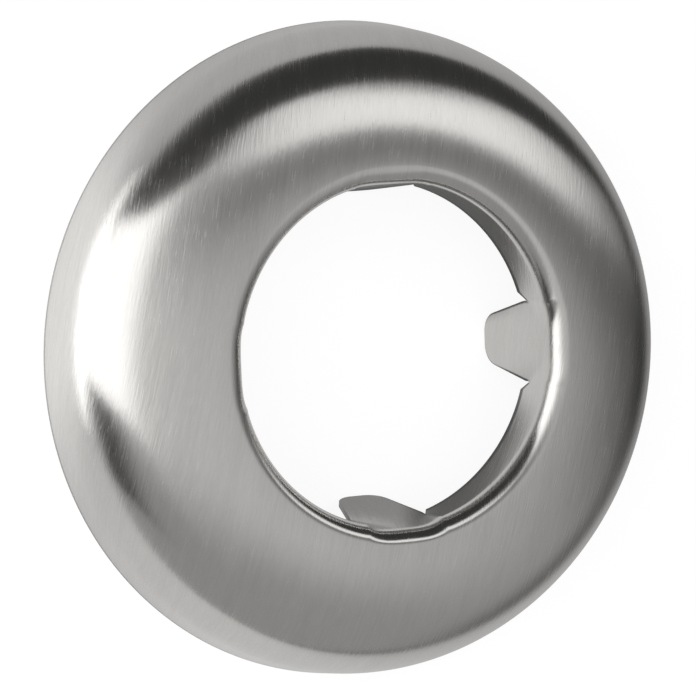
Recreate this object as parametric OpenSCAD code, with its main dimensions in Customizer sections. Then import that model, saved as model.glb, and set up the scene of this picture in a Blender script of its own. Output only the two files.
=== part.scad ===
// Pipe rosette: a pressed ring of brushed stainless sheet that hides the gap
// round a heating or water pipe where it enters the wall.
// It is one sheet of even thickness, and lies on the edge of its rim.
// Z points away from the wall, the rim edge is at Z = 0, and the pipe runs along Z.

/* [Dome] */
// Diameter of the rim, where its edge meets the wall
rim_d = 70; // [67:0.5:76]
// Height of the crown above the wall
crown_h = 13; // [11.5:0.1:15]
// Lean of the side wall away from upright, in degrees
wall_lean = 7; // [3:0.5:13]
// Radius of the rounded shoulder, on its outside
shoulder_r = 9.5; // [6:0.25:10.5]
// Radius of the gently crowned face, on its outside
face_r = 28; // [24:1:45]
// Slope of the face where it meets the rolled lip, in degrees
face_slope = 3; // [2.5:0.5:6]
// Thickness of the sheet
sheet_t = 0.5; // [0.4:0.05:0.7]

/* [Collar] */
// Outside diameter of the pipe, one inch steel pipe
pipe_d = 33.7; // [32.5:0.1:34.5]
// Gap between the pipe and the collar, measured on the radius
pipe_gap = 1.15; // [0.8:0.05:1.5]
// Radius of the lip that rolls back into the hole, on its outside
lip_r = 1.8; // [1.7:0.1:2.2]
// Height of the collar's rear edge above the wall
collar_z = 6.5; // [6.2:0.1:7.5]
// Dip of the straight stretch of lip over a tongue below the crown
lip_dip = 0.1; // [0.05:0.05:0.3]

/* [Tongues] */
// Width of a spring tongue at its root
tongue_root_w = 8.7; // [7.5:0.1:10]
// Width of a tongue at its tip, before the corners are rounded
tongue_tip_w = 4.8; // [3.8:0.2:6]
// Length of a tongue from its crease to its tip
tongue_l = 7.7; // [5.5:0.1:8]
// Radius of the rounded corners at the tip
tongue_tip_r = 2; // [1:0.1:2.5]
// Inward bend of the right tongue, in degrees
right_bend = 9; // [2:0.5:25]
// Inward bend of the top tongue, in degrees
top_bend = 5; // [2:0.5:25]
// Inward bend of the left tongue, in degrees
left_bend = 8; // [2:0.5:25]
// Inward bend of the bottom tongue, in degrees
bottom_bend = 12; // [2:0.5:25]
// Length of the straight root of a tongue, below its crease, before its sides taper
root_run = 0.5; // [0.4:0.1:1]
// Height of the notches beside a tongue above the collar's rear edge
notch_h = 1.6; // [1.3:0.1:1.9]
// Width of a notch at the collar's rear edge
notch_w = 0.9; // [0.5:0.1:1.6]

/* [Hidden] */
$fn = 180;

// Bends of the tongues, counter-clockwise from +X as seen from the front
bends = [right_bend, top_bend, left_bend, bottom_bend];
steel = [0.70, 0.70, 0.69];
rim_r = rim_d / 2;
collar_r = pipe_d / 2 + pipe_gap;
crease_z = collar_z + notch_h;
// Room that a cutter keeps beyond what it cuts
beyond = 1;
// Angle by which the shoulder's slice runs on inside the face and the side wall
slice_overlap = 15;

// Centre of the rolled lip, in the half section where X is the radius and Y the height
lip_c = [collar_r + lip_r, crown_h - lip_r];
// Centre of the face's arc, which touches the lip's arc at face_slope
face_c = lip_c - (face_r - lip_r) * [sin(face_slope), cos(face_slope)];
// Directions along the side wall and square to it
wall_up = [-sin(wall_lean), cos(wall_lean)];
wall_out = [cos(wall_lean), sin(wall_lean)];
// The shoulder's arc touches the side wall and, from inside, the face's arc
shoulder_foot = [rim_r, 0] - shoulder_r * wall_out;
foot_to_face = shoulder_foot - face_c;
foot_along = foot_to_face * wall_up;
shoulder_rise = -foot_along
    + sqrt(pow(foot_along, 2) - foot_to_face * foot_to_face + pow(face_r - shoulder_r, 2));
shoulder_c = shoulder_foot + shoulder_rise * wall_up;
shoulder_slope = atan2(shoulder_c[0] - face_c[0], shoulder_c[1] - face_c[1]);

// A tongue's crease and the lip over it are straight, along a chord of the round collar
root_half = tongue_root_w / 2;
chord_x = sqrt(pow(collar_r, 2) - pow(root_half, 2));
straight_lip_c = [chord_x + lip_r, lip_c[1] - lip_dip];

// Point at a slope on an arc, where slope 0 looks along the height
function on_arc(centre, radius, slope) = centre + radius * [sin(slope), cos(slope)];

// Slice of a disc between two slopes that are under 120 degrees apart
module pie(centre, radius, first_slope, last_slope) {
    intersection() {
        translate(centre) circle(r = radius);
        polygon([
            centre,
            on_arc(centre, 2 * radius, first_slope),
            on_arc(centre, 2 * radius, last_slope)
        ]);
    }
}

// Half section of everything behind the sheet's surface at a given depth below its outside
module behind_surface(depth, floor_z) {
    face_arc = face_r - depth;
    wall_top = shoulder_c + (shoulder_r - depth) * wall_out;
    wall_run = (wall_top[1] - floor_z) / wall_up[1];
    intersection() {
        translate([0, floor_z]) square([2 * rim_r, 2 * crown_h]);
        union() {
            polygon([
                [collar_r + depth, floor_z],
                [collar_r + depth, lip_c[1]],
                lip_c,
                on_arc(face_c, face_arc, face_slope),
                on_arc(face_c, face_arc, shoulder_slope),
                shoulder_c,
                wall_top,
                wall_top - wall_run * wall_up
            ]);
            translate(lip_c) circle(r = lip_r - depth);
            pie(face_c, face_arc, face_slope, shoulder_slope);
            pie(shoulder_c, shoulder_r - depth,
                shoulder_slope - slice_overlap, 90 - wall_lean + slice_overlap);
        }
    }
}

// Places a part at each of the four tongues, with the tongue's own bend
module at_tongues() {
    for (i = [0 : len(bends) - 1])
        rotate(360 / len(bends) * i) {
            $bend = bends[i];
            children();
        }
}

// Straight stretch of lip over a tongue, filled behind; its ends run on inside the round lip
module straight_lip(depth, floor_z) {
    rotate([90, 0, 0])
        linear_extrude(height = tongue_root_w + 2 * beyond, center = true) {
            translate(straight_lip_c) circle(r = lip_r - depth);
            translate([chord_x + depth, floor_z])
                square([lip_r - depth, straight_lip_c[1] - floor_z]);
        }
}

// Everything behind the sheet's surface at a given depth below its outside
module body(depth, floor_z) {
    rotate_extrude() behind_surface(depth, floor_z);
    at_tongues() straight_lip(depth, floor_z);
}

// Opening round a tongue: the width of its root, widened by a V notch at each side
module tongue_gap() {
    foot_z = collar_z - beyond;
    foot_half = root_half + notch_w;
    rotate([90, 0, 90])
        linear_extrude(height = lip_c[0])
            polygon([
                [-root_half, crease_z],
                [-foot_half, collar_z],
                [-foot_half, foot_z],
                [foot_half, foot_z],
                [foot_half, collar_z],
                [root_half, crease_z]
            ]);
}

// The sheet without its tongues: side wall, shoulder, face, rolled lip and collar
module shell() {
    difference() {
        body(0, 0);
        body(sheet_t, -beyond);
        translate([0, 0, -beyond]) cylinder(r = lip_c[0], h = collar_z + beyond);
        at_tongues() tongue_gap();
    }
}

// Outline of a tongue as seen square to the wall of the collar, for its length in that view.
// Its crease lies on the X axis and its tip along -Y; what is above the crease is in the wall.
module tongue_outline(seen_l) {
    taper = atan2(root_half - tongue_tip_w / 2, seen_l - root_run);
    corner_y = seen_l - tongue_tip_r;
    corner_x = root_half - (corner_y - root_run) * tan(taper) - tongue_tip_r / cos(taper);
    side_point = [corner_x, corner_y] + tongue_tip_r * [cos(taper), sin(taper)];
    polygon([
        [-root_half + root_run, root_run],
        [root_half - root_run, root_run],
        [root_half, 0],
        [root_half, -root_run],
        [side_point[0], -side_point[1]],
        [corner_x, -seen_l],
        [-corner_x, -seen_l],
        [-side_point[0], -side_point[1]],
        [-root_half, -root_run],
        [-root_half, 0]
    ]);
    for (side = [-1, 1])
        translate([side * corner_x, -corner_y]) circle(r = tongue_tip_r);
}

// Section through a tongue: wall, crease and flap are one sheet of even thickness
module tongue_section(bend) {
    root = [chord_x, crease_z + 2 * root_run];
    crease = [chord_x, crease_z];
    past_tip = crease - (tongue_l + beyond) * [sin(bend), cos(bend)];
    polygon([
        root,
        crease,
        past_tip,
        past_tip + sheet_t * [cos(bend), -sin(bend)],
        crease + sheet_t * [1, -tan(bend / 2)],
        root + [sheet_t, 0]
    ]);
}

// A tongue, bent inwards at its crease by its own angle
module tongue(bend) {
    intersection() {
        rotate([90, 0, 0])
            linear_extrude(height = tongue_root_w + 2 * beyond, center = true)
                tongue_section(bend);
        translate([0, 0, crease_z])
            rotate([90, 0, 90])
                linear_extrude(height = lip_c[0]) tongue_outline(tongue_l * cos(bend));
    }
}

// The whole rosette, one pressed sheet
module rosette() {
    color(steel) {
        shell();
        at_tongues() tongue($bend);
    }
}

rosette();
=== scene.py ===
"""Pipe rosette of brushed stainless sheet, laid out as a Blender add-on.

Each operator makes one piece, or the stage, from the sizes and colours in its
property group. main() calls the operators in order.
"""

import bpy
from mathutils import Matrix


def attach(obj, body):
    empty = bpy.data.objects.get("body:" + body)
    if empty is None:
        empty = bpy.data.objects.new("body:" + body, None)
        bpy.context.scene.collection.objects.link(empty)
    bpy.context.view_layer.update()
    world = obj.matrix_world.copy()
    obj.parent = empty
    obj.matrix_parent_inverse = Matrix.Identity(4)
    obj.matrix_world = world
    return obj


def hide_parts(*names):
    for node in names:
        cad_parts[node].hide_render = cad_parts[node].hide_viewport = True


bl_info = {
    "name": "Pipe rosette",
    "version": (1, 0, 0),
    "blender": (4, 5, 0),
    "location": "3D View > Sidebar > Rosette",
    "description": "Presses a pipe rosette from brushed sheet and sets its stage",
    "category": "Object",
}

import math
from typing import NamedTuple

import bpy
from bpy.props import (
    FloatProperty,
    FloatVectorProperty,
    PointerProperty,
)
from mathutils import Matrix, Vector

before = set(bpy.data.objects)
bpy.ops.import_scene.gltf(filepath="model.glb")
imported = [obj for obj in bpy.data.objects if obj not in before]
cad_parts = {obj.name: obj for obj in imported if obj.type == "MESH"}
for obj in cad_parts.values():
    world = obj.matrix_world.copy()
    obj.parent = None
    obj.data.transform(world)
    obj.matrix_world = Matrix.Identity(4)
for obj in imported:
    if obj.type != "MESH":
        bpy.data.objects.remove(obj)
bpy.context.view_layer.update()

MM = 0.001
SHEET_MAP = "sheet"  # UV map of the flat sheet in metres, its V along the grain
TURN = 2 * math.pi


# Arithmetic that the node trees share

class Rule:
    """A number that varies over a mesh or a surface, kept as Math nodes."""

    def __init__(self, tree, socket):
        self.tree = tree
        self.socket = socket

    def _math(self, operation, *terms, clamped=False):
        node = self.tree.nodes.new("ShaderNodeMath")
        node.operation = operation
        node.use_clamp = clamped
        for slot, term in zip(node.inputs, terms):
            if isinstance(term, Rule):
                self.tree.links.new(term.socket, slot)
            else:
                slot.default_value = term
        return Rule(self.tree, node.outputs[0])

    def __add__(self, other):
        return self._math("ADD", self, other)

    def __radd__(self, other):
        return self._math("ADD", other, self)

    def __sub__(self, other):
        return self._math("SUBTRACT", self, other)

    def __rsub__(self, other):
        return self._math("SUBTRACT", other, self)

    def __mul__(self, other):
        return self._math("MULTIPLY", self, other)

    def __rmul__(self, other):
        return self._math("MULTIPLY", other, self)

    def __truediv__(self, other):
        return self._math("DIVIDE", self, other)

    def __rtruediv__(self, other):
        return self._math("DIVIDE", other, self)

    def __neg__(self):
        return self._math("MULTIPLY", self, -1.0)

    def sin(self):
        return self._math("SINE", self)

    def cos(self):
        return self._math("COSINE", self)

    def tan(self):
        return self._math("TANGENT", self)

    def arcsin(self):
        return self._math("ARCSINE", self)

    def arctan2(self, other):
        return self._math("ARCTAN2", self, other)

    def sqrt(self):
        return self._math("SQRT", self)

    def square(self):
        return self * self

    def floor(self):
        return self._math("FLOOR", self)

    def sign(self):
        return self._math("SIGN", self)

    def size(self):
        return self._math("ABSOLUTE", self)

    def least(self, other):
        return self._math("MINIMUM", self, other)

    def most(self, other):
        return self._math("MAXIMUM", self, other)

    def above(self, other):
        return self._math("GREATER_THAN", self, other)

    def share(self, start, length):
        """How far self has come from start along length, from 0 to 1."""
        return self._math("DIVIDE", self - start, length, clamped=True)

    def toward(self, goal, share):
        """Moves from self to goal by share."""
        return self + share * (goal - self)

    def ease(self, low, high):
        """0 below low, 1 above high, and a smooth rise between them."""
        node = self.tree.nodes.new("ShaderNodeMapRange")
        node.interpolation_type = "SMOOTHSTEP"
        self.tree.links.new(self.socket, node.inputs["Value"])
        node.inputs["From Min"].default_value = low
        node.inputs["From Max"].default_value = high
        return Rule(self.tree, node.outputs["Result"])


def vector_of(tree, x, y, z):
    """The socket of a vector made of three numbers or rules."""
    node = tree.nodes.new("ShaderNodeCombineXYZ")
    for slot, term in zip(node.inputs, (x, y, z)):
        if isinstance(term, Rule):
            tree.links.new(term.socket, slot)
        else:
            slot.default_value = term
    return node.outputs[0]


# Sizes, finish and light, as a user would change them

def length_property(name, description, default):
    return FloatProperty(
        name=name, description=description, default=default,
        min=0.0, unit="LENGTH", precision=5,
    )


def angle_property(name, description, degrees):
    return FloatProperty(
        name=name, description=description, default=math.radians(degrees),
        subtype="ANGLE", unit="ROTATION",
    )


def strength_property(name, description, default):
    return FloatProperty(name=name, description=description, default=default, min=0.0)


class RosetteSizes(bpy.types.PropertyGroup):
    """Sizes of the pressed sheet."""

    rim_radius: length_property(
        "Rim radius", "Radius of the rim where it meets the wall", 35 * MM)
    crown_height: length_property(
        "Crown height", "Height of the crown above the wall", 13 * MM)
    wall_lean: angle_property(
        "Wall lean", "Lean of the side wall away from upright", 7)
    shoulder_radius: length_property(
        "Shoulder radius", "Outside radius of the rounded shoulder", 9.5 * MM)
    face_radius: length_property(
        "Face radius", "Outside radius of the gently crowned face", 28 * MM)
    face_slope: angle_property(
        "Face slope", "Slope of the face where it meets the lip", 3)
    thickness: length_property("Sheet thickness", "Thickness of the sheet", 0.5 * MM)
    collar_radius: length_property(
        "Collar radius", "Inside radius of the collar round the pipe", 18 * MM)
    lip_radius: length_property(
        "Lip radius", "Outside radius of the lip that rolls into the hole", 1.8 * MM)
    collar_foot: length_property(
        "Collar foot", "Height of the collar's rear edge above the wall", 6.5 * MM)
    tongue_root: length_property(
        "Tongue root", "Width of a spring tongue at its root", 8.7 * MM)
    tongue_tip: length_property(
        "Tongue tip", "Width of a tongue at its tip, corners left square", 4.8 * MM)
    tongue_length: length_property(
        "Tongue length", "Length of a tongue from its crease to its tip", 7.7 * MM)
    tip_radius: length_property(
        "Tip radius", "Radius of the rounded corners at the tip", 2.2 * MM)
    root_run: length_property(
        "Root run", "Straight length of a tongue before its sides taper", 0.5 * MM)
    notch_height: length_property(
        "Notch height", "Height of the notches beside a tongue", 1.6 * MM)
    notch_width: length_property(
        "Notch width", "Width of a notch at the collar's rear edge", 0.9 * MM)
    bend_right: angle_property("Right bend", "Inward bend of the right tongue", 9)
    bend_top: angle_property("Top bend", "Inward bend of the top tongue", 5)
    bend_left: angle_property("Left bend", "Inward bend of the left tongue", 8)
    bend_bottom: angle_property("Bottom bend", "Inward bend of the bottom tongue", 12)


class SteelFinish(bpy.types.PropertyGroup):
    """Colour and grain of the brushed steel."""

    colour: FloatVectorProperty(
        name="Steel colour", description="Colour of the bare steel",
        subtype="COLOR", size=3, default=(0.715, 0.70, 0.68), min=0.0, max=1.0)
    roughness: FloatProperty(
        name="Roughness", description="Mean roughness of the brushed surface",
        default=0.22, min=0.0, max=1.0, subtype="FACTOR")
    anisotropy: FloatProperty(
        name="Anisotropy", description="How far the grain stretches reflections",
        default=0.74, min=0.0, max=1.0, subtype="FACTOR")
    grain_turn: angle_property(
        "Grain turn", "Clockwise turn of the grain from the line between two tongues", 13.5)
    grain_pitch: length_property(
        "Grain pitch", "Spacing of the finest brush lines", 0.13 * MM)
    grain_depth: length_property(
        "Grain depth", "Height of the brush lines", 0.006 * MM)
    streak: FloatProperty(
        name="Streaks", description="How far the grain varies the steel's colour",
        default=0.1, min=0.0, max=1.0, subtype="FACTOR")
    scratch: FloatProperty(
        name="Scratches", description="How much paler the handling scratches are",
        default=0.03, min=0.0, max=1.0, subtype="FACTOR")


class StageLight(bpy.types.PropertyGroup):
    """Camera and light of the stage."""

    camera_distance: length_property(
        "Camera distance", "Distance of the camera from the rosette", 400 * MM)
    camera_tilt: angle_property(
        "Camera tilt", "Angle of the view away from straight on", 26.36)
    camera_roll: angle_property(
        "Camera roll", "Roll of the camera about its own axis", 7.32)
    tongue_turn: angle_property(
        "Tongue turn", "Turn of the tongues against the direction of the tilt", 10.55)
    lens: FloatProperty(
        name="Lens", description="Focal length on a 36 mm frame, in millimetres",
        default=193.15, min=1.0)
    camera_shift: FloatVectorProperty(
        name="Camera shift", description="Shift of the picture, as a share of its width",
        size=2, default=(-0.0009, 0.0004))
    floor_size: length_property("Floor size", "Width of the floor", 3.0)
    room: strength_property("Room", "Strength of the grey room all round", 0.41)
    softbox: strength_property("Softbox", "Strength of the softbox at the left", 2.0)
    strip: strength_property("Strip light", "Strength of the strip light above", 1.4)
    card: strength_property("Card", "Strength of the pale card in front", 0.73)
    flags: strength_property("Flags", "Strength of the dark flags between them", 0.05)
    gap: strength_property("Gap", "Strength of the gap below the strip light", 0.26)
    low_light: strength_property(
        "Low light", "Strength of the low light panel on the floor at the left", 1.6)


# The pressed sheet

# Rows of the mesh along each stretch of the sheet, from the rim to a tongue's tip
WALL, SHOULDER, FACE, LIP, COLLAR, TONGUE = range(6)
ROWS = (8, 22, 22, 18, 6, 18)
# Columns of an eighth turn: half a tongue, a notch, and on to halfway between tongues
TONGUE_COLUMNS, NOTCH_COLUMNS, OPEN_COLUMNS = 14, 4, 26
QUARTER_COLUMNS = 2 * (TONGUE_COLUMNS + NOTCH_COLUMNS + OPEN_COLUMNS)
QUARTERS = 4

# Inputs of the pressing tree, as the names of the sizes' properties
PRESS_INPUTS = (
    "rim_radius", "crown_height", "wall_lean", "shoulder_radius", "face_radius",
    "face_slope", "thickness", "collar_radius", "lip_radius", "collar_foot",
    "tongue_root", "tongue_tip", "tongue_length", "tip_radius", "root_run",
    "notch_height", "notch_width",
    "bend_right", "bend_top", "bend_left", "bend_bottom",
)
BENDS = ("bend_right", "bend_top", "bend_left", "bend_bottom")


def new_press_tree(sizes):
    """The empty pressing tree, its sizes as rules, and the ids of its inputs."""
    tree = bpy.data.node_groups.new("Press the sheet", "GeometryNodeTree")
    tree.interface.new_socket("Geometry", in_out="OUTPUT",
                              socket_type="NodeSocketGeometry")
    ids = {}
    for key in PRESS_INPUTS:
        name = sizes.bl_rna.properties[key].name
        socket = tree.interface.new_socket(name, in_out="INPUT",
                                           socket_type="NodeSocketFloat")
        socket.default_value = getattr(sizes, key)
        ids[key] = socket.identifier
    inputs = tree.nodes.new("NodeGroupInput")
    size = {}
    for key, output in zip(PRESS_INPUTS, inputs.outputs):
        size[key] = Rule(tree, output)
    return tree, size, ids


def bend_here(tree, size, quarter):
    """The bend of the tongue in each quarter."""
    switch = tree.nodes.new("GeometryNodeIndexSwitch")
    switch.data_type = "FLOAT"
    while len(switch.index_switch_items) < QUARTERS:
        switch.index_switch_items.new()
    tree.links.new(quarter.socket, switch.inputs["Index"])
    for slot, key in zip(list(switch.inputs)[1:], BENDS):
        tree.links.new(size[key].socket, slot)
    return Rule(tree, switch.outputs[0])


def section_arcs(size):
    """Where the shoulder's arc starts and ends, as in the solid's half section."""
    lean = size["wall_lean"]
    lip_x = size["collar_radius"] + size["lip_radius"]
    lip_y = size["crown_height"] - size["lip_radius"]
    arm = size["face_radius"] - size["lip_radius"]
    face_x = lip_x - arm * size["face_slope"].sin()
    face_y = lip_y - arm * size["face_slope"].cos()
    foot_x = size["rim_radius"] - size["shoulder_radius"] * lean.cos()
    foot_y = -(size["shoulder_radius"] * lean.sin())
    gap_x, gap_y = foot_x - face_x, foot_y - face_y
    along = gap_y * lean.cos() - gap_x * lean.sin()
    reach = (size["face_radius"] - size["shoulder_radius"]).square()
    rise = (along.square() - gap_x.square() - gap_y.square() + reach).sqrt() - along
    shoulder_x = foot_x - rise * lean.sin()
    shoulder_y = foot_y + rise * lean.cos()
    slope = (shoulder_x - face_x).arctan2(shoulder_y - face_y)
    return rise, slope, lip_y


def arc_step(radius, start, sweep):
    """Radius and height gained along an arc whose slope falls by sweep from start."""
    return (
        radius * ((start - sweep).sin() - start.sin()),
        radius * ((start - sweep).cos() - start.cos()),
    )


def press_tree(sizes, steel, grain_turn):
    """Nodes that press the flat sheet into the rosette and give it its thickness."""
    tree, size, ids = new_press_tree(sizes)
    nodes, link = tree.nodes, tree.links.new
    columns, rows = QUARTERS * QUARTER_COLUMNS, sum(ROWS)

    blank = nodes.new("GeometryNodeMeshGrid")
    for name, value in (("Size X", columns), ("Size Y", rows),
                        ("Vertices X", columns + 1), ("Vertices Y", rows + 1)):
        blank.inputs[name].default_value = value
    place = nodes.new("ShaderNodeSeparateXYZ")
    link(nodes.new("GeometryNodeInputPosition").outputs[0], place.inputs[0])
    column = Rule(tree, place.outputs["X"]) + columns / 2
    row = Rule(tree, place.outputs["Y"]) + rows / 2

    # The quarter of each column, and its place from the middle of the tongue there
    quarter = ((column + 0.01) / QUARTER_COLUMNS).floor().least(QUARTERS - 1)
    offset = column - quarter * QUARTER_COLUMNS - QUARTER_COLUMNS / 2
    side, step = offset.sign(), offset.size()
    bend = bend_here(tree, size, quarter)
    root_half = size["tongue_root"] * 0.5
    collar_r = size["collar_radius"]
    chord = (collar_r.square() - root_half.square()).sqrt()
    across = (root_half * step.share(0, TONGUE_COLUMNS)
              + size["notch_width"] * step.share(TONGUE_COLUMNS, NOTCH_COLUMNS))
    notch_end = ((root_half + size["notch_width"]) / collar_r).arcsin()
    open_share = step.share(TONGUE_COLUMNS + NOTCH_COLUMNS, OPEN_COLUMNS)
    turn = (across / collar_r).arcsin() + (TURN / 8 - notch_end) * open_share
    inside = 1.0 - (across / root_half).least(1.0).square()

    # How far each row has come along each stretch of the sheet
    starts = [sum(ROWS[:i]) for i in range(len(ROWS))]
    done = [row.share(start, count) for start, count in zip(starts, ROWS)]
    rise, slope, lip_y = section_arcs(size)
    upright = TURN / 4 - size["wall_lean"]
    early = bend * inside  # the lip turns straight into the middle of a tongue
    shoulder = arc_step(size["shoulder_radius"], upright,
                        (upright - slope) * done[SHOULDER])
    face = arc_step(size["face_radius"], slope,
                    (slope - size["face_slope"]) * done[FACE])
    lip_turn = size["face_slope"] + TURN / 4 - early
    lip = arc_step(size["lip_radius"], size["face_slope"], lip_turn * done[LIP])

    # The collar's line, down to its rear edge, a notch's side or a tongue's crease,
    # which bows up toward the lip in the middle of the tongue
    crease_z = size["collar_foot"] + size["notch_height"]
    lip_end_z = lip_y + size["lip_radius"] * early.sin()
    fold_z = crease_z + (lip_end_z - crease_z) * (0.9 * inside)
    notch_share = step.share(TONGUE_COLUMNS, NOTCH_COLUMNS)
    end_z = fold_z - size["notch_height"] * notch_share
    fall = (lip_end_z - end_z) * done[COLLAR]
    line_x, line_z = -(fall * early.tan()), -fall

    # The tongue's flap, which narrows to a tip with rounded corners
    above_root = (fold_z - crease_z) / bend.cos()
    past = (size["tongue_length"] + above_root) * (done[TONGUE] * (TURN / 4)).sin()
    past_x, past_z = -(past * bend.sin()), -(past * bend.cos())
    taper = (root_half - size["tongue_tip"] * 0.5).arctan2(
        size["tongue_length"] - size["root_run"])
    corner_y = size["tongue_length"] - size["tip_radius"]
    corner_x = (root_half - (corner_y - size["root_run"]) * taper.tan()
                - size["tip_radius"] / taper.cos())
    flap_y = (past - above_root).most(0.0)
    sloped = root_half - (flap_y - size["root_run"]).most(0.0) * taper.tan()
    bulge = (size["tip_radius"].square()
             - (flap_y - corner_y).most(0.0).square()).most(0.0).sqrt()
    on_corner = flap_y.above(corner_y + size["tip_radius"] * taper.sin())
    half_width = sloped + on_corner * (corner_x + bulge - sloped)
    narrowing = (across * half_width / root_half - across) * done[TONGUE].above(0.0)

    radius = size["rim_radius"] - rise * size["wall_lean"].sin() * done[WALL]
    height = rise * size["wall_lean"].cos() * done[WALL]
    for step_x, step_z in (shoulder, face, lip, (line_x, line_z)):
        radius, height = radius + step_x, height + step_z

    # Over a tongue the lip is straight, along a chord of the collar, and turns softly
    # into the round; at the collar's edge the turn is sharp
    bow = collar_r * turn.cos() - chord
    blur = 0.1 * MM * (1.0 - done[COLLAR]) * (1.0 - inside)
    bow = 0.5 * (bow + (bow.square() + blur.square()).sqrt())
    lean_in = (fold_z - crease_z) * bend.tan()
    slack = size["lip_radius"] * (1.0 - early.cos()) - (lip_end_z - fold_z) * early.tan()
    shift = (lean_in - slack) * inside.above(0.0) - bow
    straight = row.ease(starts[LIP] - 0.2 * ROWS[FACE], starts[LIP] + 0.45 * ROWS[LIP])
    local_x = radius * turn.cos() + shift * straight + past_x
    local_y = (radius * turn.sin() + narrowing) * side
    height = height + past_z
    facing = quarter * (TURN / 4)
    x = local_x * facing.cos() - local_y * facing.sin()
    y = local_x * facing.sin() + local_y * facing.cos()

    # The same point on the flat sheet, which the grain follows
    lip_length = size["lip_radius"] * lip_turn
    flat_face = size["face_radius"] * (slope - size["face_slope"])
    flat_shoulder = size["shoulder_radius"] * (upright - slope)
    flat_r = (collar_r + size["lip_radius"] + rise * (1.0 - done[WALL])
              + flat_shoulder * (1.0 - done[SHOULDER]) + flat_face * (1.0 - done[FACE])
              - lip_length * done[LIP] - fall)
    flat_x = flat_r * turn.cos() - past
    flat_y = (flat_r * turn.sin() + narrowing) * side
    on_grain = facing + grain_turn
    flat = vector_of(
        tree,
        flat_x * on_grain.cos() - flat_y * on_grain.sin(),
        flat_x * on_grain.sin() + flat_y * on_grain.cos(),
        0.0,
    )

    # Beyond the collar's edge only the tongues go on
    spare = nodes.new("GeometryNodeDeleteGeometry")
    spare.domain = "FACE"
    gone = row.above(starts[TONGUE]) * step.above(TONGUE_COLUMNS)
    link(blank.outputs["Mesh"], spare.inputs["Geometry"])
    link(gone.socket, spare.inputs["Selection"])
    mapped = nodes.new("GeometryNodeStoreNamedAttribute")
    mapped.data_type, mapped.domain = "FLOAT2", "CORNER"
    mapped.inputs["Name"].default_value = SHEET_MAP
    link(spare.outputs[0], mapped.inputs["Geometry"])
    link(flat, mapped.inputs["Value"])
    pressed = nodes.new("GeometryNodeSetPosition")
    link(mapped.outputs[0], pressed.inputs["Geometry"])
    link(vector_of(tree, x, y, height), pressed.inputs["Position"])
    joined = nodes.new("GeometryNodeMergeByDistance")
    joined.inputs["Distance"].default_value = 0.001 * MM
    link(pressed.outputs[0], joined.inputs["Geometry"])

    thick = thicken(tree, joined.outputs[0], size["thickness"])
    real = nodes.new("GeometryNodeRealizeInstances")
    link(thick, real.inputs[0])
    smooth = nodes.new("GeometryNodeSetShadeSmooth")
    link(real.outputs[0], smooth.inputs["Geometry"])
    finish = nodes.new("GeometryNodeSetMaterial")
    finish.inputs["Material"].default_value = steel
    link(smooth.outputs[0], finish.inputs["Geometry"])
    link(finish.outputs[0], nodes.new("NodeGroupOutput").inputs[0])
    return tree, ids


def thicken(tree, surface, thickness):
    """Closes a surface into a sheet whose other side lies thickness behind it."""
    nodes, link = tree.nodes, tree.links.new
    kept = nodes.new("GeometryNodeCaptureAttribute")
    kept.capture_items.new("VECTOR", "Outward")
    link(surface, kept.inputs["Geometry"])
    link(nodes.new("GeometryNodeInputNormal").outputs["Normal"], kept.inputs[1])
    grown = nodes.new("GeometryNodeExtrudeMesh")
    grown.inputs["Individual"].default_value = False
    grown.inputs["Offset Scale"].default_value = 0.0
    link(kept.outputs[0], grown.inputs["Mesh"])
    inward = nodes.new("ShaderNodeVectorMath")
    inward.operation = "SCALE"
    link(kept.outputs[1], inward.inputs[0])
    link((-thickness).socket, inward.inputs["Scale"])
    behind = nodes.new("GeometryNodeSetPosition")
    link(grown.outputs["Mesh"], behind.inputs["Geometry"])
    link(grown.outputs["Top"], behind.inputs["Selection"])
    link(inward.outputs[0], behind.inputs["Offset"])
    flipped = nodes.new("GeometryNodeFlipFaces")
    link(behind.outputs[0], flipped.inputs["Mesh"])
    both = nodes.new("GeometryNodeJoinGeometry")
    link(flipped.outputs[0], both.inputs[0])
    link(kept.outputs[0], both.inputs[0])
    closed = nodes.new("GeometryNodeMergeByDistance")
    closed.inputs["Distance"].default_value = 0.001 * MM
    link(both.outputs[0], closed.inputs["Geometry"])

    # The rim is cut flat, so nothing reaches below the wall
    place = nodes.new("ShaderNodeSeparateXYZ")
    link(nodes.new("GeometryNodeInputPosition").outputs[0], place.inputs[0])
    level = Rule(tree, place.outputs["Z"]).most(0.0)
    flat = nodes.new("GeometryNodeSetPosition")
    link(closed.outputs[0], flat.inputs["Geometry"])
    link(vector_of(tree, Rule(tree, place.outputs["X"]), Rule(tree, place.outputs["Y"]),
                   level), flat.inputs["Position"])
    return flat.outputs[0]


def grain_noise(tree, sheet, pitch, run, detail=2.0, seed=0.0):
    """Noise drawn out along the grain, with marks pitch wide and run long."""
    stretch = tree.nodes.new("ShaderNodeVectorMath")
    stretch.operation = "MULTIPLY_ADD"
    tree.links.new(sheet, stretch.inputs[0])
    stretch.inputs[1].default_value = (1.0 / pitch, 1.0 / run, 1.0)
    stretch.inputs[2].default_value = (seed, seed, 0.0)
    noise = tree.nodes.new("ShaderNodeTexNoise")
    noise.noise_dimensions = "2D"
    noise.inputs["Scale"].default_value = 1.0
    noise.inputs["Detail"].default_value = detail
    tree.links.new(stretch.outputs[0], noise.inputs["Vector"])
    return Rule(tree, noise.outputs[0])


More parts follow.
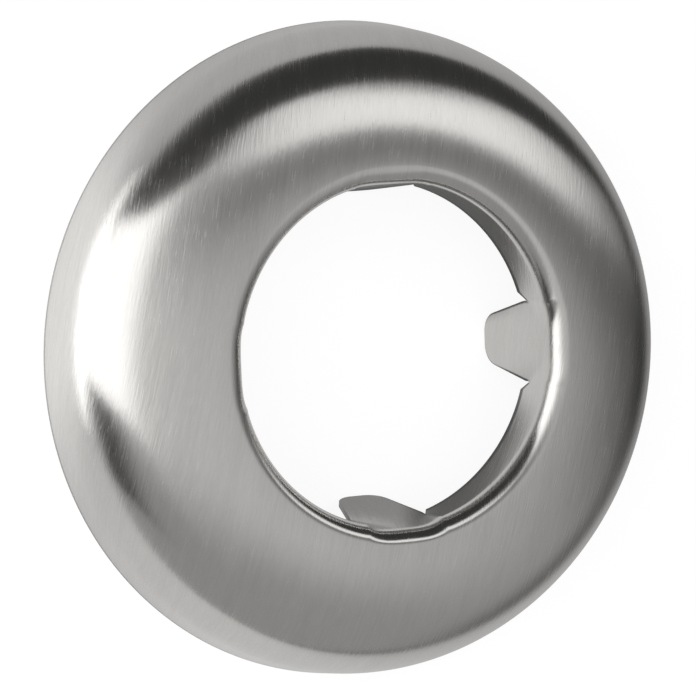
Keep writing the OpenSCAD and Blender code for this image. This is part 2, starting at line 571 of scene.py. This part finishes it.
def brushed_steel(finish):
    """Stainless steel brushed in one direction, before it was pressed."""
    steel = bpy.data.materials.new("Brushed stainless steel")
    steel.use_nodes = True
    tree = steel.node_tree
    nodes, link = tree.nodes, tree.links.new
    nodes.clear()
    shader = nodes.new("ShaderNodeBsdfPrincipled")
    link(shader.outputs[0], nodes.new("ShaderNodeOutputMaterial").inputs["Surface"])
    shader.inputs["Metallic"].default_value = 1.0
    shader.inputs["Anisotropic"].default_value = finish.anisotropy
    across = nodes.new("ShaderNodeTangent")
    across.direction_type, across.uv_map = "UV_MAP", SHEET_MAP
    link(across.outputs[0], shader.inputs["Tangent"])

    # Brush lines of three widths, and a few longer scratches from handling
    sheet = nodes.new("ShaderNodeUVMap")
    sheet.uv_map = SHEET_MAP
    flat, pitch = sheet.outputs[0], finish.grain_pitch
    fine = grain_noise(tree, flat, pitch, 1.4 * MM) - 0.5
    lines = grain_noise(tree, flat, 2.4 * pitch, 4.5 * MM, seed=7.0) - 0.5
    bands = grain_noise(tree, flat, 14 * pitch, 30 * MM, seed=19.0) - 0.5
    marks = grain_noise(tree, flat, 1.2 * pitch, 2.4 * MM, detail=0.0, seed=31.0)
    scratches = marks.ease(0.74, 0.84)

    tone = 1.0 + finish.streak * (fine + lines + bands) + finish.scratch * scratches
    steel_colour = nodes.new("ShaderNodeVectorMath")
    steel_colour.operation = "SCALE"
    steel_colour.inputs[0].default_value = finish.colour
    link(tone.socket, steel_colour.inputs["Scale"])
    link(steel_colour.outputs[0], shader.inputs["Base Color"])
    roughness = finish.roughness + 0.04 * lines + 0.03 * bands + 0.06 * scratches
    link(roughness.socket, shader.inputs["Roughness"])

    relief = nodes.new("ShaderNodeBump")
    relief.inputs["Distance"].default_value = finish.grain_depth
    link((fine + 1.5 * lines + 0.3 * scratches).socket, relief.inputs["Height"])
    link(relief.outputs[0], shader.inputs["Normal"])
    return steel


def finished_mesh(holder, name):
    """The evaluated mesh of holder as a new object, in place of holder."""
    bpy.context.view_layer.update()
    graph = bpy.context.evaluated_depsgraph_get()
    mesh = bpy.data.meshes.new_from_object(holder.evaluated_get(graph),
                                           depsgraph=graph)
    if not mesh.polygons:
        raise RuntimeError(f"{name} came out empty")
    mesh.name = name
    old = holder.data
    bpy.data.objects.remove(holder)
    bpy.data.meshes.remove(old)
    piece = bpy.data.objects.new(name, mesh)
    bpy.context.scene.collection.objects.link(piece)
    return piece


class ROSETTE_OT_press_sheet(bpy.types.Operator):
    """Press the rosette from one brushed sheet, with its lip, collar and tongues"""

    bl_idname = "rosette.press_sheet"
    bl_label = "Press the sheet"

    def execute(self, context):
        sizes, finish = context.scene.rosette_sizes, context.scene.rosette_finish
        steel = brushed_steel(finish)
        tree, ids = press_tree(sizes, steel, finish.grain_turn)
        mesh = bpy.data.meshes.new("blank")
        holder = bpy.data.objects.new("blank", mesh)
        context.scene.collection.objects.link(holder)
        press = holder.modifiers.new("Press", "NODES")
        press.node_group = tree
        for key, identifier in ids.items():
            press[identifier] = getattr(sizes, key)
        piece = finished_mesh(holder, "pressed_rosette")
        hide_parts("rosette")
        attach(piece, "root")
        return {"FINISHED"}


# The stage

def white_for_the_camera(tree, shaded):
    """Mixes a shader with plain white, which the camera sees."""
    nodes, link = tree.nodes, tree.links.new
    path = nodes.new("ShaderNodeLightPath")
    white = nodes.new("ShaderNodeEmission")
    mix = nodes.new("ShaderNodeMixShader")
    link(path.outputs["Is Camera Ray"], mix.inputs[0])
    link(shaded, mix.inputs[1])
    link(white.outputs[0], mix.inputs[2])
    return mix.outputs[0]


def add_floor(light):
    """A pale floor: white to the camera, and in the steel a painted pool of light at the
    left and painted shadow to the right and under the sheet.
    """
    mesh = bpy.data.meshes.new("floor")
    half = light.floor_size / 2
    corners = [(-half, -half, 0), (half, -half, 0), (half, half, 0), (-half, half, 0)]
    mesh.from_pydata(corners, [], [(0, 1, 2, 3)])
    floor = bpy.data.objects.new("floor", mesh)
    bpy.context.scene.collection.objects.link(floor)
    paint = bpy.data.materials.new("Pale floor")
    paint.use_nodes = True
    tree = paint.node_tree
    nodes, link = tree.nodes, tree.links.new
    nodes.clear()
    place = nodes.new("ShaderNodeTexCoord").outputs["Object"]
    across, along, _ = grain_frame(tree, light, place)
    left = 1.0 - across.ease(-40 * MM, 0.0)
    painted_light_pool = (1.0 - (along - 2 * MM).size().ease(8 * MM, 26 * MM)) * left
    near = 1.0 - along.ease(-30 * MM, 0.0)  # the part of the floor nearer the viewer
    # Painted light: the floor as the steel mirrors it, with a painted pool of light at the
    # left
    level = (0.66 + 0.0 * across).toward(1.0, painted_light_pool)
    # Painted shade: the floor darker toward the back, and a painted shadow of the rosette
    # to the right, less dark nearer the viewer
    level = level.toward(0.5, along.ease(12 * MM, 36 * MM))
    level = level.toward(0.42 + 0.12 * near, across.ease(-5 * MM, 35 * MM))
    level = level.toward(0.03 + 0.08 * near, across.ease(34 * MM, 72 * MM))
    # Painted shadow: under the sheet the floor is painted dark, with painted light where
    # two tongues let some light past
    out = (across.square() + along.square()).sqrt()
    painted_shadow_ring = out.ease(11.5 * MM, 13.5 * MM) * (1.0 - out.ease(30 * MM, 36 * MM))
    level = level.toward(0.13, painted_shadow_ring)
    painted_light_past_tongue = 1.0 - (along - 1.5 * MM).size().ease(2.5 * MM, 5 * MM)
    in_hole = across.ease(3 * MM, 7 * MM) * (1.0 - across.ease(15.5 * MM, 17.5 * MM))
    level = level.toward(0.7, painted_light_past_tongue * in_hole)
    painted_light_past_bottom = 1.0 - (across - 4 * MM).size().ease(4 * MM, 7 * MM)
    level = level.toward(0.3, painted_light_past_bottom * painted_shadow_ring * (1.0 - along.ease(-11 * MM, -8 * MM)))
    path = nodes.new("ShaderNodeLightPath")
    mirrored = Rule(tree, path.outputs["Is Glossy Ray"]).most(
        Rule(tree, path.outputs["Is Transmission Ray"]))
    # The camera sees it white, with a share of the matt floor and so a faint shadow
    seen = Rule(tree, path.outputs["Is Camera Ray"])
    # In the steel the floor glows with this painted light and shade; the camera sees it
    # white
    glow = nodes.new("ShaderNodeEmission")
    link((level * mirrored + 1.2 * seen).socket, glow.inputs["Strength"])
    matt = nodes.new("ShaderNodeBsdfDiffuse")
    matt.inputs["Color"].default_value = (0.9, 0.9, 0.9, 1.0)
    mix = nodes.new("ShaderNodeMixShader")
    link((0.75 * seen).most(mirrored).socket, mix.inputs[0])
    link(matt.outputs[0], mix.inputs[1])
    link(glow.outputs[0], mix.inputs[2])
    link(mix.outputs[0], nodes.new("ShaderNodeOutputMaterial").inputs[0])
    mesh.materials.append(paint)


class Patch(NamedTuple):
    """A soft-edged patch of the studio, as seen from the rosette.

    Turns go round the grain's axis, in degrees from straight up and positive to the
    right. Ends are heights along the grain, from -1 to 1, and slant is what they gain
    for each degree of turn beyond the patch's middle.
    """

    strength: str  # name of its property in StageLight
    turns: tuple
    ends: tuple
    soft_turns: float
    soft_ends: float
    slant: float = 0.0


# What the steel mirrors, from the widest to what stands before it
PATCHES = (
    Patch("flags", (-99, 198), (0.47, 1.2), 36, 0.04),  # ceiling
    Patch("flags", (8, 119), (-0.22, 0.30), 40, 0.22),  # flag at the right
    Patch("flags", (84, 93), (-0.70, 0.04), 16, 0.1),  # its foot
    Patch("card", (-76, 48), (-0.43, 0.15), 40, 0.19),
    Patch("softbox", (-108, -31), (-0.38, 0.47), 22, 0.03),
    Patch("flags", (-106, -54), (-0.72, -0.335), 16, 0.015, -0.0025),  # below the softbox
    Patch("flags", (-97, -42), (0.45, 0.67), 22, 0.02),  # above the softbox
    Patch("strip", (-4, 58), (0.36, 0.62), 12, 0.05, -0.0015),
    Patch("gap", (-6, 34), (0.21, 0.39), 5, 0.02),
)


def grain_frame(tree, light, source):
    """A direction or place turned so that Y runs along the grain, as three rules."""
    split = tree.nodes.new("ShaderNodeSeparateXYZ")
    tree.links.new(source, split.inputs[0])
    x, y, z = (Rule(tree, output) for output in split.outputs)
    sine, cosine = math.sin(light.tongue_turn), math.cos(light.tongue_turn)
    return cosine * x - sine * y, sine * x + cosine * y, z


def add_studio(light):
    """A studio of soft patches, which the camera sees as white."""
    world = bpy.data.worlds.new("Soft studio")
    world.use_nodes = True
    bpy.context.scene.world = world
    tree = world.node_tree
    tree.nodes.clear()
    way = tree.nodes.new("ShaderNodeTexCoord").outputs["Generated"]
    across, along, up = grain_frame(tree, light, way)
    turn = across.arctan2(up) * math.degrees(1.0)
    level = along * 0.0 + light.room
    for patch in PATCHES:
        start, end = patch.turns
        low, high = patch.ends
        soft, fade = patch.soft_turns, patch.soft_ends
        height = along - patch.slant * (turn - (start + end) / 2)
        inside = (turn.ease(start - soft, start + soft)
                  * (1.0 - turn.ease(end - soft, end + soft))
                  * height.ease(low - fade, low + fade)
                  * (1.0 - height.ease(high - fade, high + fade)))
        level = level.toward(getattr(light, patch.strength), inside)
    output = tree.nodes.new("ShaderNodeOutputWorld")
    soft = tree.nodes.new("ShaderNodeBackground")
    tree.links.new(level.socket, soft.inputs["Strength"])
    tree.links.new(white_for_the_camera(tree, soft.outputs[0]), output.inputs[0])


def add_low_light(light):
    """A light panel that lies on the floor, left of the rosette."""
    width, height = 62 * MM, 54 * MM
    lamp = bpy.data.lights.new("low light", "AREA")
    lamp.shape, lamp.size, lamp.size_y = "RECTANGLE", width, height
    lamp.energy = math.pi * light.low_light * width * height
    panel = bpy.data.objects.new("low light", lamp)
    turn = Matrix.Rotation(-light.tongue_turn, 4, "Z")
    face_up = Matrix.Rotation(math.pi, 4, "X")
    panel.matrix_world = turn @ Matrix.Translation((-79 * MM, 5 * MM, 1 * MM)) @ face_up
    bpy.context.scene.collection.objects.link(panel)


def add_camera(light):
    """The photograph's view: a long lens, tilted to one side and rolled a little."""
    roll = Matrix.Rotation(-light.camera_roll, 3, "Z")
    tilt = Matrix.Rotation(light.camera_tilt, 3, "Y")
    turn = Matrix.Rotation(light.tongue_turn, 3, "Z")
    seen = (roll @ tilt @ turn).transposed()
    data = bpy.data.cameras.new("camera")
    data.lens, data.sensor_width = light.lens, 36.0
    data.shift_x, data.shift_y = light.camera_shift
    data.clip_start, data.clip_end = 0.01, 20.0
    camera = bpy.data.objects.new("camera", data)
    place = seen @ Vector((0, 0, light.camera_distance))
    camera.matrix_world = Matrix.Translation(place) @ seen.to_4x4()
    bpy.context.scene.collection.objects.link(camera)
    bpy.context.scene.camera = camera


class ROSETTE_OT_set_stage(bpy.types.Operator):
    """Set the floor, the soft light and the camera"""

    bl_idname = "rosette.set_stage"
    bl_label = "Set the stage"

    def execute(self, context):
        light = context.scene.rosette_light
        add_camera(light)
        add_floor(light)
        add_studio(light)
        add_low_light(light)
        context.scene.view_settings.view_transform = "Standard"
        return {"FINISHED"}


class ROSETTE_PT_panel(bpy.types.Panel):
    """Lists the operators and their sizes in the sidebar"""

    bl_label = "Pipe rosette"
    bl_idname = "ROSETTE_PT_panel"
    bl_space_type = "VIEW_3D"
    bl_region_type = "UI"
    bl_category = "Rosette"

    def draw(self, context):
        scene = context.scene
        for operator, group in (
            (ROSETTE_OT_press_sheet, (scene.rosette_sizes, scene.rosette_finish)),
            (ROSETTE_OT_set_stage, (scene.rosette_light,)),
        ):
            box = self.layout.box()
            box.operator(operator.bl_idname)
            for values in group:
                for key in type(values).__annotations__:
                    box.prop(values, key)


CLASSES = (
    RosetteSizes, SteelFinish, StageLight,
    ROSETTE_OT_press_sheet, ROSETTE_OT_set_stage, ROSETTE_PT_panel,
)


def register():
    for cls in CLASSES:
        bpy.utils.register_class(cls)
    bpy.types.Scene.rosette_sizes = PointerProperty(type=RosetteSizes)
    bpy.types.Scene.rosette_finish = PointerProperty(type=SteelFinish)
    bpy.types.Scene.rosette_light = PointerProperty(type=StageLight)


def unregister():
    del bpy.types.Scene.rosette_light
    del bpy.types.Scene.rosette_finish
    del bpy.types.Scene.rosette_sizes
    for cls in reversed(CLASSES):
        bpy.utils.unregister_class(cls)


def main():
    register()
    bpy.ops.rosette.set_stage()
    bpy.ops.rosette.press_sheet()


if __name__ == "__main__":
    main()
